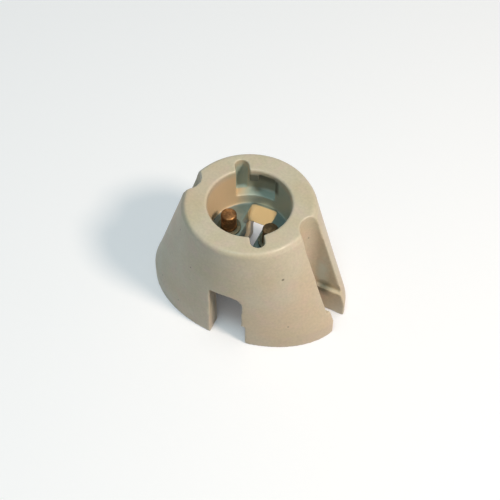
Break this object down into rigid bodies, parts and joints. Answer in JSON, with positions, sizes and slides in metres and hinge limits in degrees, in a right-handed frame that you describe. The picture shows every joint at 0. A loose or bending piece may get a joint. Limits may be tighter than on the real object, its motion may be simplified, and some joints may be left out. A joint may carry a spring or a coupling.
{
  "type": "porcelain bayonet lamp holder",
  "caption": "Surface-mounting glazed porcelain bayonet lamp holder with sprung plunger contacts, screwdriver flutes and cable notches in its oval foot.",
  "frame": {"origin": "centre of the mounting face, on the axis of the socket", "axes": "+Z along the socket's axis, out of its mouth; X along the line of the two fixing screws; the cable notch with its wide side towards +X faces -Y"},
  "size_m": [0.0582, 0.0388, 0.0385],
  "materials": {
    "porcelain": "glossy cream glaze",
    "plunger_brass": "tarnished",
    "barrel_brass": "satin",
    "strap_brass": "satin",
    "block_brass": "machined",
    "steel": "plated",
    "spring_steel": "bright"
  },
  "bodies": {
    "holder": {"porcelain_body": "porcelain", "contact_barrel_left": "barrel_brass", "contact_barrel_right": "barrel_brass", "barrel_washer_left": "steel", "barrel_washer_right": "steel", "contact_strap_left": "strap_brass", "contact_strap_right": "strap_brass", "barrel_nut_left": "steel", "barrel_nut_right": "steel", "terminal_block_left": "block_brass", "terminal_block_right": "block_brass", "terminal_washer_left": "steel", "terminal_washer_right": "steel", "terminal_screw_left": "steel", "terminal_screw_right": "steel", "plunger_spring_left": "spring_steel", "plunger_spring_right": "spring_steel"},
    "left_contact": {"plunger_left": "plunger_brass", "plunger_clip_left": "spring_steel"},
    "right_contact": {"plunger_right": "plunger_brass", "plunger_clip_right": "spring_steel"}
  },
  "joints": [
    {"name": "left_plunger_travel", "type": "slide", "parent": "holder", "child": "left_contact", "axis": [0, 0, -1], "range_m": [0, 0.005], "stiffness_N_per_m": 900, "springref_m": -0.0015, "deforming": ["plunger_spring_left"]},
    {"name": "right_plunger_travel", "type": "slide", "parent": "holder", "child": "right_contact", "axis": [0, 0, -1], "range_m": [0, 0.005], "stiffness_N_per_m": 900, "springref_m": -0.0015, "deforming": ["plunger_spring_right"]}
  ]
}
